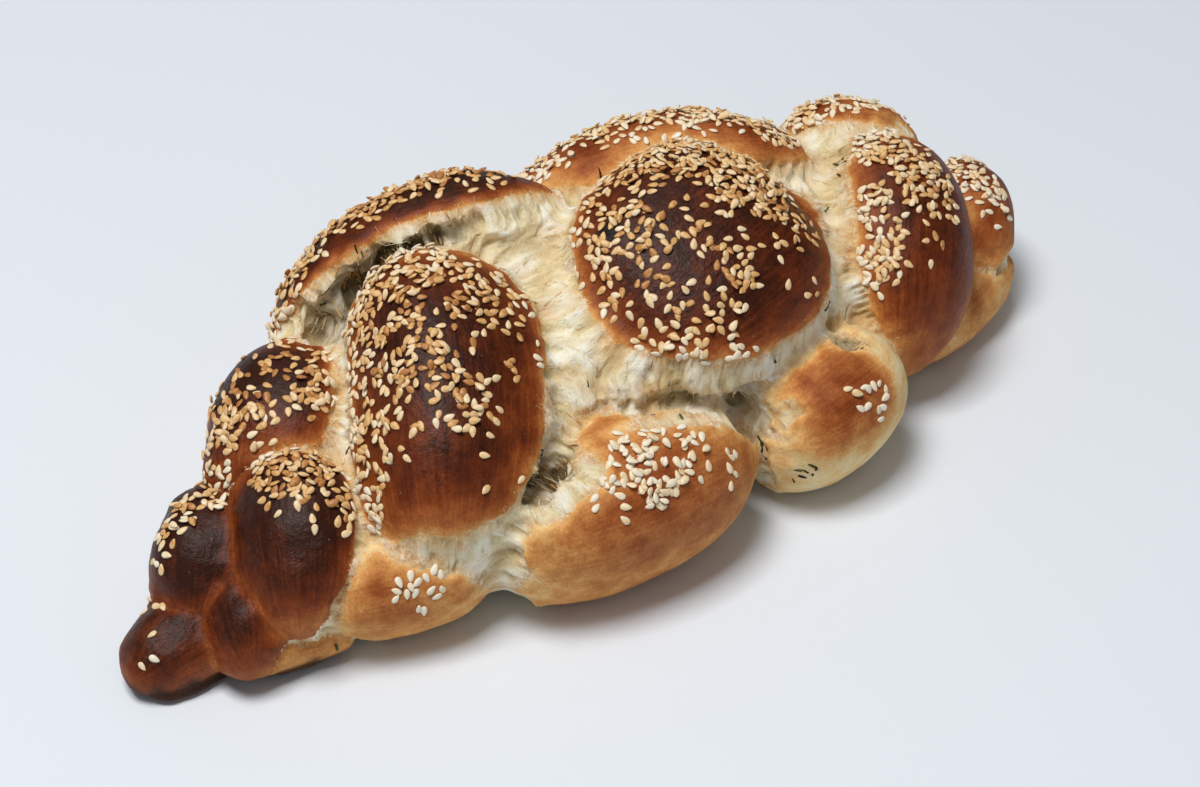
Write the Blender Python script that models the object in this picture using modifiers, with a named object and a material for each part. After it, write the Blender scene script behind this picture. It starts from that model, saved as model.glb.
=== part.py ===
"""A braided loaf, about 303 mm long, baked flat on a tray.

The loaf is one baked piece. Four ropes of dough are plaited over and under each other, and
wherever a rope comes to the surface the oven swells it into a rounded lobe. The lobes stand
in four rows round a soft middle: two rows on the crown, one low row on each side, and a small
knot of lobes at the pointed end. Where neighbours rose apart the dough tore, which leaves a
few hollows between them. The underside is flat, as the tray left it.

Frame: the loaf's long axis is X, its pointed end towards -X. The front side faces -Y, +Z is
up, and the origin is under the middle of the loaf, on the flat base.
"""

import math
from collections import namedtuple

import bmesh
import bpy
from mathutils import Matrix, Vector

MM = 0.001

# Driving dimensions.
LOAF_LENGTH = 303 * MM
DRAWN_LENGTH = 303 * MM  # the length at which the tables below are drawn
SCALE = LOAF_LENGTH / DRAWN_LENGTH

FULLNESS = 2.25  # of most lobes: 2 makes a lobe an ellipsoid, and more makes it plumper
LOBE_SEGMENTS = 40
LOBE_RINGS = 20
VOXEL = 1.8 * MM * SCALE  # grain of the mesh in which the lobes grow together
CREASE_SMOOTHING = 2  # passes that soften the creases between the lobes
KEPT_SHARE = 0.085  # of the grown mesh's triangles, after thinning
TRAY_DEPTH = 40 * MM * SCALE  # thickness of the block that flattens the base
TRAY_REACH = 1.3  # the block's side, as a share of the loaf's length
HOLLOW_SUBDIVISIONS = 2

# One swelling of a rope. at is its middle and half its half sizes along the rope, across it and
# through it, in millimetres. turn is heading, climb and lean in degrees: heading turns the rope
# from +X towards +Y, climb lifts its far end, and lean rolls its crust towards the front.
# sag is how far its two ends dive under their neighbours, in millimetres. full is how plump it is.
Lobe = namedtuple("Lobe", "name at half turn sag full", defaults=(FULLNESS,))

POINTED_END = (
    Lobe("nose", (-130.5, -8.5, 8.5), (21, 13, 10.5), (15, 0, 10), 2),
    Lobe("nose_wrap", (-119, -17, 16), (17, 9.5, 11), (72, 12, 30), 3),
    Lobe("nose_back", (-118, 2, 20), (20, 15, 16), (45, 15, 0), 4),
)
CROWN_FRONT = (
    Lobe("crown_front_1", (-99, -13, 28), (27, 17, 20), (65, 25, 30), 5, 2.3),
    Lobe("crown_front_2", (-48, -8, 44), (47, 28, 29), (62, 22, 30), 8, 3.0),
    Lobe("crown_front_3", (31, -9, 49), (40, 37, 31), (12, 5, 25), 6, 2.6),
    Lobe("crown_front_4", (98, -15, 38), (38, 23, 24), (62, 25, 25), 6, 2.3),
    Lobe("crown_front_5", (133, -9, 24), (22, 15, 17), (50, 20, 15), 4),
)
CROWN_BACK = (
    Lobe("crown_back_1", (-85, 16, 35), (30, 20, 21), (42, 20, 0), 6),
    Lobe("crown_back_2", (-30, 32, 56), (47, 19, 24), (-14, 14, -10), 9),
    Lobe("crown_back_3", (46, 26, 51), (50, 20, 24), (-17, 0, -10), 6),
    Lobe("crown_back_4", (106, 14, 42), (26, 18, 22), (-25, -10, 0), 6),
)
LOW_FRONT = (
    Lobe("low_front_1", (-108, -25, 9), (19, 9, 9), (-10, 0, 30), 0),
    Lobe("low_front_2", (-78, -31, 18), (27, 15, 18), (-15, 0, 30), 0),
    Lobe("low_front_3", (-19, -44, 22), (41, 22, 27), (-5, 0, 30), 0),
    Lobe("low_front_4", (51, -45, 20), (26, 19, 24), (10, 0, 30), 0),
    Lobe("low_front_5", (117, -22, 12), (28, 13, 14), (15, 0, 30), 0),
)
LOW_BACK = (
    Lobe("low_back_1", (-71, 30, 18), (28, 16, 20), (10, 0, -30), 0),
    Lobe("low_back_2", (-15, 46, 24), (38, 20, 26), (-5, 0, -30), 0),
    Lobe("low_back_3", (52, 42, 24), (36, 20, 26), (-15, 0, -30), 0),
    Lobe("low_back_4", (105, 22, 18), (28, 16, 20), (-15, 0, -30), 0),
)
MIDDLE = (
    Lobe("middle_left", (-77, 0, 18), (48, 26, 20), (0, 0, 0), 0),
    Lobe("middle", (17, 2, 32), (85, 44, 35), (0, 0, 0), 0),
    Lobe("middle_right", (93, 0, 24), (42, 28, 26), (0, 0, 0), 0),
)
LOBES = POINTED_END + CROWN_FRONT + CROWN_BACK + LOW_FRONT + LOW_BACK + MIDDLE

# Where the rising dough tore open. The names say between which lobes.
HOLLOWS = (
    Lobe("under_crown_back_2", (-47, 26, 66.5), (20, 6, 8.5), (-15, 20, 0), 0),
    Lobe("between_crown_and_low_front", (-41, -45, 43), (9, 4.5, 6), (12, 5, 0), 0),
    Lobe("between_low_front_3_and_4", (26, -46, 34), (4, 9, 9), (15, 0, 0), 0),
)

CRUST_COLOUR = (0.24, 0.09, 0.035, 1.0)
CRUST_ROUGHNESS = 0.45


def clear_scene():
    """Start from an empty scene."""
    for obj in list(bpy.data.objects):
        bpy.data.objects.remove(obj)


def collection(name):
    """A new collection in the scene."""
    made = bpy.data.collections.new(name)
    bpy.context.scene.collection.children.link(made)
    return made


def crust_material():
    """Egg-washed crust."""
    material = bpy.data.materials.new("crust")
    material.use_nodes = True
    shader = material.node_tree.nodes["Principled BSDF"]
    shader.inputs["Base Color"].default_value = CRUST_COLOUR
    shader.inputs["Roughness"].default_value = CRUST_ROUGHNESS
    shader.inputs["Metallic"].default_value = 0.0
    return material


def place_of(lobe):
    """The matrix that stands a lobe in the loaf: lean, then climb, then heading."""
    heading, climb, lean = (math.radians(angle) for angle in lobe.turn)
    turn = (
        Matrix.Rotation(heading, 4, "Z")
        @ Matrix.Rotation(-climb, 4, "Y")
        @ Matrix.Rotation(lean, 4, "X")
    )
    return Matrix.Translation(Vector(lobe.at) * MM * SCALE) @ turn


def shape_point(point, lobe):
    """Swell one point of a unit sphere into the lobe's form, before it is placed."""
    swell = sum(abs(c) ** lobe.full for c in point) ** (-1 / lobe.full)
    along, across, through = point * swell
    length, width, height = lobe.half
    bent = Vector((along * length, across * width, through * height - lobe.sag * along**2))
    return bent * MM * SCALE


def add_lobe(mesh, lobe):
    """Add one lobe to a bmesh as a closed, bent, plumped sphere."""
    made = bmesh.ops.create_uvsphere(
        mesh, u_segments=LOBE_SEGMENTS, v_segments=LOBE_RINGS, radius=1.0
    )
    place = place_of(lobe)
    for vertex in made["verts"]:
        vertex.co = place @ shape_point(vertex.co, lobe)


def object_from(mesh, name, home):
    """An object that holds a bmesh, in a collection."""
    data = bpy.data.meshes.new(name)
    mesh.to_mesh(data)
    mesh.free()
    obj = bpy.data.objects.new(name, data)
    home.objects.link(obj)
    return obj


def tray_block(home):
    """A block whose top is the tray: what the loaf would sink below it is cut away."""
    mesh = bmesh.new()
    bmesh.ops.create_cube(mesh, size=1.0)
    side = TRAY_REACH * LOAF_LENGTH
    bmesh.ops.scale(mesh, vec=(side, side, TRAY_DEPTH), verts=mesh.verts)
    bmesh.ops.translate(mesh, vec=(0, 0, -TRAY_DEPTH / 2), verts=mesh.verts)
    return object_from(mesh, "tray_block", home)


def hollow_cutter(hollow, home):
    """A rounded cutter for one torn hollow."""
    mesh = bmesh.new()
    bmesh.ops.create_icosphere(mesh, subdivisions=HOLLOW_SUBDIVISIONS, radius=1.0)
    size = Vector(hollow.half) * MM * SCALE
    bmesh.ops.scale(mesh, vec=size, verts=mesh.verts)
    bmesh.ops.transform(mesh, matrix=place_of(hollow), verts=mesh.verts)
    return object_from(mesh, hollow.name, home)


def cut(obj, cutter):
    """Take the cutter away from the object, and keep the cutter out of the render."""
    modifier = obj.modifiers.new(cutter.name, "BOOLEAN")
    modifier.operation = "DIFFERENCE"
    modifier.solver = "EXACT"
    modifier.object = cutter
    cutter.hide_render = True
    cutter.display_type = "WIRE"


def raise_loaf(home):
    """The lobes grown together into one body, softened and thinned."""
    mesh = bmesh.new()
    for lobe in LOBES:
        add_lobe(mesh, lobe)
    loaf = object_from(mesh, "braided_loaf", home)
    grow = loaf.modifiers.new("grow_together", "REMESH")
    grow.mode = "VOXEL"
    grow.voxel_size = VOXEL
    soften = loaf.modifiers.new("soften_creases", "SMOOTH")
    soften.iterations = CREASE_SMOOTHING
    thin = loaf.modifiers.new("thin", "DECIMATE")
    thin.ratio = KEPT_SHARE
    return loaf


def bake_mesh(obj):
    """Replace the object's mesh by its evaluated one, and drop the modifiers."""
    graph = bpy.context.evaluated_depsgraph_get()
    finished = bpy.data.meshes.new_from_object(obj.evaluated_get(graph))
    obj.modifiers.clear()
    obj.data = finished
    obj.data.name = obj.name


def centre_over_origin(obj):
    """Move the mesh so that its box is centred on X and Y. The base stays at Z = 0."""
    corners = [vertex.co for vertex in obj.data.vertices]
    for axis in (0, 1):
        middle = (min(c[axis] for c in corners) + max(c[axis] for c in corners)) / 2
        for corner in corners:
            corner[axis] -= middle


def main():
    clear_scene()
    parts = collection("braided_loaf")
    cutters = collection("cutters")
    loaf = raise_loaf(parts)
    cut(loaf, tray_block(cutters))
    for hollow in HOLLOWS:
        cut(loaf, hollow_cutter(hollow, cutters))
    bake_mesh(loaf)
    centre_over_origin(loaf)
    loaf.data.materials.clear()
    loaf.data.materials.append(crust_material())
    loaf.data.shade_smooth()


main()
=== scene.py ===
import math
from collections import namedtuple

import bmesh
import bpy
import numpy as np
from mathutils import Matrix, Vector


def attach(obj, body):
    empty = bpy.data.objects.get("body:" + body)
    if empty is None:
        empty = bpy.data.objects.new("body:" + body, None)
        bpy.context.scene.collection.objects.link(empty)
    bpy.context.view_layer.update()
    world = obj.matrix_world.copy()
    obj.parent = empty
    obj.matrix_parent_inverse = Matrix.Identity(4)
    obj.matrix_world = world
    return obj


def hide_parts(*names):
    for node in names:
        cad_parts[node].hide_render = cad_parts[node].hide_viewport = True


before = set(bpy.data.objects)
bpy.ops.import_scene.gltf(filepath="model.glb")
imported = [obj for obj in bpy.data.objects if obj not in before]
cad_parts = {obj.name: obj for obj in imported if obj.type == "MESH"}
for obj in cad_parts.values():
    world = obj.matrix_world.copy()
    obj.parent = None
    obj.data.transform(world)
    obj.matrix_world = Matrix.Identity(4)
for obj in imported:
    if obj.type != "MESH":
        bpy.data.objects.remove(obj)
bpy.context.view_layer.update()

# %% [markdown]
# # A braided loaf
#
# This lesson bakes a braided loaf in Blender. On the real loaf, ropes of dough are plaited,
# brushed with egg and strewn with sesame. In the oven every rope swells where it comes to the
# surface, and where two swellings part the dough tears and shows pale, stringy crumb.
#
# The loaf could be sculpted by hand, but a sculpture can't be changed by a number. So it is built
# the way it grew: lobes first, then the tears between them, then the browning, then the seeds.

MM = 0.001

# %% [markdown]
# ## The lobes
#
# Each lobe is one swelling of a rope. It is a plumped ellipsoid with its own place, size and turn:
# heading turns the rope from +X towards +Y, climb lifts its far end, lean rolls its crust towards
# the front, and sag is how far its ends dive under their neighbours. They are the lobes of the
# solid model, because the loaf's size was settled there. A fullness of 2 would be a plain
# ellipsoid, and more makes the lobe boxier, as dough that fills its corner is.

# %% The lobes' table, in millimetres and degrees
Lobe = namedtuple("Lobe", "name at half turn sag full")

POINTED_END = (
    Lobe("nose", (-130.5, -8.5, 8.5), (21, 13, 10.5), (15, 0, 10), 2, 2.25),
    Lobe("nose_wrap", (-119, -17, 16), (17, 9.5, 11), (72, 12, 30), 3, 2.25),
    Lobe("nose_back", (-118, 2, 20), (20, 15, 16), (45, 15, 0), 4, 2.25),
)
CROWN_FRONT = (
    Lobe("crown_front_1", (-99, -13, 28), (27, 17, 20), (65, 25, 30), 5, 2.3),
    Lobe("crown_front_2", (-48, -8, 44), (47, 28, 29), (62, 22, 30), 8, 3.0),
    Lobe("crown_front_3", (31, -9, 49), (40, 37, 31), (12, 5, 25), 6, 2.6),
    Lobe("crown_front_4", (98, -15, 38), (38, 23, 24), (62, 25, 25), 6, 2.3),
    Lobe("crown_front_5", (133, -9, 24), (22, 15, 17), (50, 20, 15), 4, 2.25),
)
CROWN_BACK = (
    Lobe("crown_back_1", (-85, 16, 35), (30, 20, 21), (42, 20, 0), 6, 2.25),
    Lobe("crown_back_2", (-30, 32, 56), (47, 19, 24), (-14, 14, -10), 9, 2.25),
    Lobe("crown_back_3", (46, 26, 51), (50, 20, 24), (-17, 0, -10), 6, 2.25),
    Lobe("crown_back_4", (106, 14, 42), (26, 18, 22), (-25, -10, 0), 6, 2.25),
)
LOW_FRONT = (
    Lobe("low_front_1", (-108, -25, 9), (19, 9, 9), (-10, 0, 30), 0, 2.25),
    Lobe("low_front_2", (-78, -31, 18), (27, 15, 18), (-15, 0, 30), 0, 2.25),
    Lobe("low_front_3", (-19, -44, 22), (41, 22, 27), (-5, 0, 30), 0, 2.25),
    Lobe("low_front_4", (51, -45, 20), (26, 19, 24), (10, 0, 30), 0, 2.25),
    Lobe("low_front_5", (117, -22, 12), (28, 13, 14), (15, 0, 30), 0, 2.25),
)
LOW_BACK = (
    Lobe("low_back_1", (-71, 30, 18), (28, 16, 20), (10, 0, -30), 0, 2.25),
    Lobe("low_back_2", (-15, 46, 24), (38, 20, 26), (-5, 0, -30), 0, 2.25),
    Lobe("low_back_3", (52, 42, 24), (36, 20, 26), (-15, 0, -30), 0, 2.25),
    Lobe("low_back_4", (105, 22, 18), (28, 16, 20), (-15, 0, -30), 0, 2.25),
)
MIDDLE = (
    Lobe("middle_left", (-77, 0, 18), (48, 26, 20), (0, 0, 0), 0, 2.25),
    Lobe("middle", (17, 2, 32), (85, 44, 35), (0, 0, 0), 0, 2.25),
    Lobe("middle_right", (93, 0, 24), (42, 28, 26), (0, 0, 0), 0, 2.25),
)
SWELLINGS = POINTED_END + CROWN_FRONT + CROWN_BACK + LOW_FRONT + LOW_BACK
LOBES = SWELLINGS + MIDDLE
INDEX = {lobe.name: i for i, lobe in enumerate(LOBES)}
print(len(SWELLINGS), "swellings round", len(MIDDLE), "bodies of crumb")

# %% [markdown]
# ## How each lobe bakes
#
# Only the part of a rope that shows on the surface gets egg wash, and that patch turns to crust.
# A patch is a rounded rectangle wrapped on the lobe. along and round are its middle: a share of
# the rope's half length, and degrees from its crest towards the front. Then come its half sizes in
# the same measures, its slant (degrees that it shifts along half the rope), and its squareness.
#
# brown is how dark the patch bakes, and fade is how many millimetres its edge takes to get there.
# A low lobe keeps a pale whole skin beyond its patch. A high one tears there, and shows crumb.

# %% The patches' table
Bake = namedtuple("Bake", "along round half_along half_round slant square brown fade pale_skin")
ALL_OVER = (0, 0, 9, 900, 0, 2)
BAKES = {
    "nose": Bake(*ALL_OVER, 0.86, 1.1, True),
    "nose_wrap": Bake(*ALL_OVER, 0.86, 1.1, True),
    "nose_back": Bake(*ALL_OVER, 0.95, 1.2, True),
    "crown_front_1": Bake(-0.1, -43, 0.82, 63, 4, 4.5, 0.92, 2, False),
    "crown_front_2": Bake(-0.04, -35, 0.87, 62, 6, 3.5, 0.84, 5, False),
    "crown_front_3": Bake(0.13, -8, 1.09, 62, -2, 2.1, 0.85, 4.5, False),
    "crown_front_4": Bake(-0.12, 60, 1.0, 116, 0, 5, 0.9, 7, False),
    "crown_front_5": Bake(0.0, 60, 2.0, 150, 0, 5, 0.7, 6, False),
    "crown_back_1": Bake(0.04, -50, 0.94, 96, 0, 2.6, 1.06, 5.5, False),
    "crown_back_2": Bake(-0.1, -65, 0.98, 92, 6, 4, 1.0, 4, False),
    "crown_back_3": Bake(0.02, -50, 0.96, 96, 10, 4, 0.88, 10, False),
    "crown_back_4": Bake(0.0, -72, 1.0, 85, 15, 4, 0.9, 7, False),
    "low_front_1": Bake(0.1, 60, 1.0, 80, 0, 2.5, 0.55, 4, True),
    "low_front_2": Bake(0.05, 75, 0.85, 76, 35, 2.5, 0.64, 6, True),
    "low_front_3": Bake(0.08, 60, 0.96, 110, 0, 2.1, 0.54, 10, False),
    "low_front_4": Bake(-0.27, 6, 0.55, 46, 0, 2.6, 0.58, 5, True),
    "low_front_5": Bake(0.0, 60, 1.3, 140, 0, 2.5, 0.5, 6, True),
    "low_back_1": Bake(0.0, -80, 1.0, 110, 0, 4, 0.58, 6, False),
    "low_back_2": Bake(0.0, -80, 1.0, 110, 0, 4, 0.62, 6, False),
    "low_back_3": Bake(0.0, -80, 1.0, 110, 0, 4, 0.6, 6, False),
    "low_back_4": Bake(0.0, -80, 1.0, 110, 0, 4, 0.55, 6, False),
}
print(sum(not bake.pale_skin for bake in BAKES.values()), "lobes tear open at their patch's edge")

# %% [markdown]
# A lobe is a unit sphere, swollen, bent and turned. The same sums run backwards say how far any
# point is from every lobe, and where it lies along and round the rope. That second form is what
# makes the tears, the crust's border and the browning possible later.

# %% A lobe forwards: from a unit sphere to its place in the loaf
def turn_of(lobe):
    """The 3 by 3 matrix that leans, climbs and heads a lobe."""
    heading, climb, lean = (math.radians(angle) for angle in lobe.turn)
    turn = (Matrix.Rotation(heading, 3, "Z")
            @ Matrix.Rotation(-climb, 3, "Y")
            @ Matrix.Rotation(lean, 3, "X"))
    return np.array(turn)


def lobe_points(lobe, sphere):
    """Points of a unit sphere, moved onto the lobe's surface, in millimetres."""
    swell = (np.abs(sphere) ** lobe.full).sum(1) ** (-1 / lobe.full)
    unit = sphere * swell[:, None]
    bent = unit * np.array(lobe.half)
    bent[:, 2] -= lobe.sag * unit[:, 0] ** 2
    return bent @ turn_of(lobe).T + np.array(lobe.at)


# %% A lobe backwards: how far points are from it, and where round it they lie
def lobe_places(lobe, points):
    """Each point's place in the lobe, as shares of its half sizes."""
    local = (points - np.array(lobe.at)) @ turn_of(lobe)
    length, width, height = lobe.half
    along = local[:, 0] / length
    return np.c_[along, local[:, 1] / width, (local[:, 2] + lobe.sag * along**2) / height]


def lobe_distance(lobe, places):
    """About how far outside the lobe each place is, in millimetres."""
    size = (np.abs(places) ** lobe.full).sum(1) ** (1 / lobe.full)
    return (size - 1) * min(lobe.half)


def round_angle(places):
    """Degrees round the rope from its crest, positive towards the front."""
    return np.degrees(np.arctan2(-places[:, 1], places[:, 2]))


# %% [markdown]
# ## Random but repeatable
#
# Real dough is never smooth. Value noise gives soft random numbers at any point in space. Space is
# divided into cells, a sum on a cell's place gives its number, and numbers between are blended. No
# draw depends on the one before it, so the loaf is the same at every run.

# %% Value noise
STIR_AXES = (73856093, 19349663, 83492791)  # large odd numbers, so that neighbours differ
STIR_SEED, STIR_ONCE, STIR_AGAIN = 2654435761, 6364136223846793005, 1442695040888963407


def lattice_value(cells, seed):
    """A random number from -1 to 1 for each whole-numbered cell."""
    stirred = np.zeros(len(cells), np.uint64)
    for axis, number in enumerate(STIR_AXES):
        stirred ^= cells[:, axis].astype(np.uint64) * np.uint64(number)
    stirred = (stirred ^ np.uint64(seed * STIR_SEED + 97)) * np.uint64(STIR_ONCE)
    stirred ^= stirred >> np.uint64(29)
    stirred *= np.uint64(STIR_AGAIN)
    return (stirred >> np.uint64(40)).astype(float) / 2**23 - 1


def noise(points, size, seed):
    """Soft random values in -1 to 1 that change over about size millimetres."""
    scaled = points / size + 1000
    cell = np.floor(scaled)
    share = scaled - cell
    share = share * share * (3 - 2 * share)
    cell = cell.astype(np.int64)
    total = np.zeros(len(points))
    for corner in np.ndindex(2, 2, 2):
        corner = np.array(corner)
        weight = np.prod(np.where(corner, share, 1 - share), axis=1)
        total += weight * lattice_value(cell + corner, seed)
    return total


def blend(low, high, values):
    """0 below low, 1 above high, and a smooth rise between them."""
    share = np.clip((values - low) / (high - low), 0, 1)
    return share * share * (3 - 2 * share)


# %% [markdown]
# ## Where the crust ends
#
# One number for each point carries the whole look: border, the distance in millimetres to the
# nearest edge of the crust, above 0 on crust and below 0 on torn crumb. A point is on a lobe's
# crust if the lobe is clearly nearer than its neighbours, if it lies within the lobe's patch, and
# if no tear or hollow is there.
#
# The margins between neighbours are wide in the middle of the loaf, where it rose most, and only
# creases at the pointed end.

# %% Tears and hollows
Tear = namedtuple("Tear", "start end radius")
TEARS = (
    Tear((-20, -44, 52), (24, -52, 40), 3.5),  # along the top of the long low lobe
    Tear((-48, -50, 42), (-35, -50, 46), 6.0),  # beside the pocket
    Tear((33, -54, 34), (28, -50, 10), 4.5),  # between the two round low lobes
)
Hollow = namedtuple("Hollow", "name at half heading climb")
HOLLOWS = (
    Hollow("under_back_ridge", (-47, 26, 66.5), (20, 6, 8.5), -15, 20),
    Hollow("ridge_crack", (-27, 22, 75.5), (10, 3, 3.5), -15, 12),
    Hollow("end_of_back_ridge", (-64, 29, 56), (9, 6, 8), -25, 30),
    Hollow("pocket", (-41, -45, 43), (9, 4.5, 6), 12, 5),
    Hollow("pocket_top", (-35, -41, 48), (5, 4, 5), 20, 0),
    Hollow("between_low_lobes", (24, -46, 32), (5.5, 8, 12), 10, 0),
    Hollow("round_hole", (58, -46, 41), (3.2, 3.2, 5), 0, 0),
    Hollow("under_belly", (2, -40.5, 43.5), (22, 5, 2.8), -19, -14),
)
REACH_OVER_CRUMB = {"crown_front_2": 5.0, "crown_front_3": 4.5}  # how far over the crumb bodies
HOLLOW_EDGE = 1.12  # torn crumb reaches this many half sizes out from a hollow's middle
BORDER_SLOPE = 0.8  # how fast the border number grows away from a seam between lobes
MARGIN = 1.2  # crumb left between two crusts in the middle of the loaf
CREASE_MARGIN = 0.1  # and at the pointed end
TEARING_STARTS, TEARING_FULL = -104, -84  # places along X
print(len(TEARS), "tears and", len(HOLLOWS), "hollows")


# %% The border field
def line_distance(points, start, end):
    """How far points are from a straight line between two points."""
    start, end = np.array(start, float), np.array(end, float)
    way = end - start
    share = np.clip((points - start) @ way / (way @ way), 0, 1)
    return np.linalg.norm(points - start - share[:, None] * way, axis=1)


def patch_border(lobe, places):
    """Distance to the edge of the lobe's egg-washed patch, in millimetres, above 0 inside."""
    bake = BAKES[lobe.name]
    along = (places[:, 0] - bake.along) / bake.half_along
    angle = round_angle(places) - bake.round - bake.slant * places[:, 0]
    turn = ((angle + 180) % 360 - 180) / bake.half_round
    size = (np.abs(along) ** bake.square + np.abs(turn) ** bake.square) ** (1 / bake.square)
    waist = math.radians(1) * (lobe.half[1] + lobe.half[2]) / 2
    return (1 - size) * min(bake.half_along * lobe.half[0], bake.half_round * waist)


def hollow_turn(hollow):
    """The 3 by 3 matrix that climbs and heads a hollow."""
    turn = (Matrix.Rotation(math.radians(hollow.heading), 3, "Z")
            @ Matrix.Rotation(-math.radians(hollow.climb), 3, "Y"))
    return np.array(turn)


def hollow_border(hollow, points):
    """About how far outside a hollow each point is, in millimetres."""
    local = (points - np.array(hollow.at)) @ hollow_turn(hollow) / np.array(hollow.half)
    return (np.linalg.norm(local, axis=1) - HOLLOW_EDGE) * min(hollow.half)


def read_lobes(points):
    """For all lobes: the points' distances and their places."""
    places = [lobe_places(lobe, points) for lobe in LOBES]
    distances = np.array([lobe_distance(*pair) for pair in zip(LOBES, places)])
    return distances, places


def border_field(points):
    """The border number of each point, the lobe it belongs to, and the lobes' readings."""
    distances, places = read_lobes(points)
    count = len(SWELLINGS)
    crumb = distances[count:].min(0)
    ranked = np.sort(distances[:count], axis=0)
    margin = CREASE_MARGIN + (MARGIN - CREASE_MARGIN) * blend(
        TEARING_STARTS, TEARING_FULL, points[:, 0])
    best = np.full(len(points), -1e3)
    owner = np.zeros(len(points), int)
    for i, lobe in enumerate(SWELLINGS):
        own = distances[i]
        others = np.where(own <= ranked[0], ranked[1], ranked[0])
        reach = REACH_OVER_CRUMB.get(lobe.name, 0)
        border = BORDER_SLOPE * (np.minimum(others - margin, crumb + reach) - own)
        if not BAKES[lobe.name].pale_skin:
            border = np.minimum(border, patch_border(lobe, places[i]))
        better = border > best
        best = np.where(better, border, best)
        owner = np.where(better, i, owner)
    for tear in TEARS:
        best = np.minimum(best, line_distance(points, tear.start, tear.end) - tear.radius)
    for hollow in HOLLOWS:
        best = np.minimum(best, hollow_border(hollow, points))
    return best, owner, distances, places


# %% [markdown]
# ## One skin over all the lobes
#
# The lobes overlap, so they are joined first. A boolean union would keep every sharp seam; a voxel
# remesh grows them together like dough, with an even grid of faces. The torn hollows are cut out
# of that body, and it is remeshed once more to soften the cuts. The grid is coarse where crust
# will be smooth, and the faces that will be torn are divided once more, so that strands of crumb
# can be real relief.

# %% Lobes into one skin
VOXEL = 1.6
HOLLOW_VOXEL = 1.1
WALL_ROUGHNESS, WALL_GRAIN = 0.45, 3.5
SPHERE_SEGMENTS = 48
CREASE_SMOOTHING = 3


def round_shapes(name, shapes, to_place):
    """One object made of many spheres, each carried to its place by to_place."""
    mesh = bmesh.new()
    for shape in shapes:
        made = bmesh.ops.create_uvsphere(
            mesh, u_segments=SPHERE_SEGMENTS, v_segments=SPHERE_SEGMENTS // 2, radius=1.0)
        sphere = np.array([vertex.co for vertex in made["verts"]])
        for vertex, point in zip(made["verts"], to_place(shape, sphere)):
            vertex.co = point
    data = bpy.data.meshes.new(name)
    mesh.to_mesh(data)
    mesh.free()
    shaped = bpy.data.objects.new(name, data)
    bpy.context.scene.collection.objects.link(shaped)
    return shaped


def hollow_points(hollow, sphere):
    """Points of a unit sphere, moved onto the hollow's wall."""
    rough = 1 + WALL_ROUGHNESS * noise(
        sphere * np.array(hollow.half) + hollow.at, WALL_GRAIN, 61)
    local = sphere * rough[:, None] * np.array(hollow.half)
    return local @ hollow_turn(hollow).T + np.array(hollow.at)


def voxel_remesh(shaped, size):
    """Add a modifier that grows the parts of an object together."""
    grow_together = shaped.modifiers.new("grow_together", "REMESH")
    grow_together.mode = "VOXEL"
    grow_together.voxel_size = size


def skin_of_lobes():
    """A bmesh of one closed skin over all the lobes, hollows cut out, in millimetres."""
    lobes = round_shapes("lobes", LOBES, lobe_points)
    hollows = round_shapes("hollows", HOLLOWS, hollow_points)
    voxel_remesh(hollows, HOLLOW_VOXEL)
    voxel_remesh(lobes, VOXEL)
    cut = lobes.modifiers.new("cut_hollows", "BOOLEAN")
    cut.operation = "DIFFERENCE"
    cut.solver = "EXACT"
    cut.object = hollows
    voxel_remesh(lobes, VOXEL)
    soften = lobes.modifiers.new("soften_creases", "SMOOTH")
    soften.iterations = CREASE_SMOOTHING
    skin = bmesh.new()
    skin.from_object(lobes, bpy.context.evaluated_depsgraph_get())
    bpy.data.objects.remove(lobes)
    bpy.data.objects.remove(hollows)
    return skin


skin = skin_of_lobes()
print("The skin has", len(skin.verts), "points")

# %% Finer faces where the dough tears
FINE_BELOW = 1.6  # border number under which the faces are divided
FOOT_LEFT_COARSE = 2  # height under which they aren't


def positions(mesh):
    """The bmesh's points as an array."""
    flat = np.array([vertex.co for vertex in mesh.verts])
    return flat.reshape(-1, 3)


border = border_field(positions(skin))[0]
skin.verts.ensure_lookup_table()
torn_edges = [
    edge for edge in skin.edges
    if max(border[v.index] for v in edge.verts) < FINE_BELOW
    and min(v.co.z for v in edge.verts) > FOOT_LEFT_COARSE
]
bmesh.ops.subdivide_edges(skin, edges=torn_edges, cuts=1, use_grid_fill=True)
bmesh.ops.triangulate(skin, faces=skin.faces[:])
skin.normal_update()
print("After dividing the torn faces:", len(skin.verts), "points,", len(skin.faces), "triangles")

# %% [markdown]
# ## Tearing it open
#
# From here the skin is a set of arrays: points, outward directions, and the edges between points.
# The crust is raised, so that it ends in a lip over the crumb, and the crumb is combed into
# strands.
#
# The strands run away from the crust, the way dough pulls apart. To comb them, each point gets a
# random number, and the numbers are then smeared along the strands' direction and not across it.

# %% The skin as arrays
def ring_edges(mesh):
    """The two ends of every edge, listed both ways."""
    mesh.verts.index_update()
    pairs = np.array([[v.index for v in edge.verts] for edge in mesh.edges])
    return np.concatenate([pairs[:, 0], pairs[:, 1]]), np.concatenate([pairs[:, 1], pairs[:, 0]])


def face_corners(mesh):
    """The three points of every triangle."""
    return np.array([[v.index for v in face.verts] for face in mesh.faces])


def unit(vectors):
    """The same directions with length 1."""
    return vectors / np.maximum(np.linalg.norm(vectors, axis=1), 1e-9)[:, None]


def outward(points, corners):
    """Unit normals at the points."""
    a, b, c = (points[corners[:, k]] for k in range(3))
    normal = np.cross(b - a, c - a)
    total = np.zeros_like(points)
    for k in range(3):
        for axis in range(3):
            total[:, axis] += np.bincount(corners[:, k], normal[:, axis], len(points))
    return unit(total)


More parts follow.
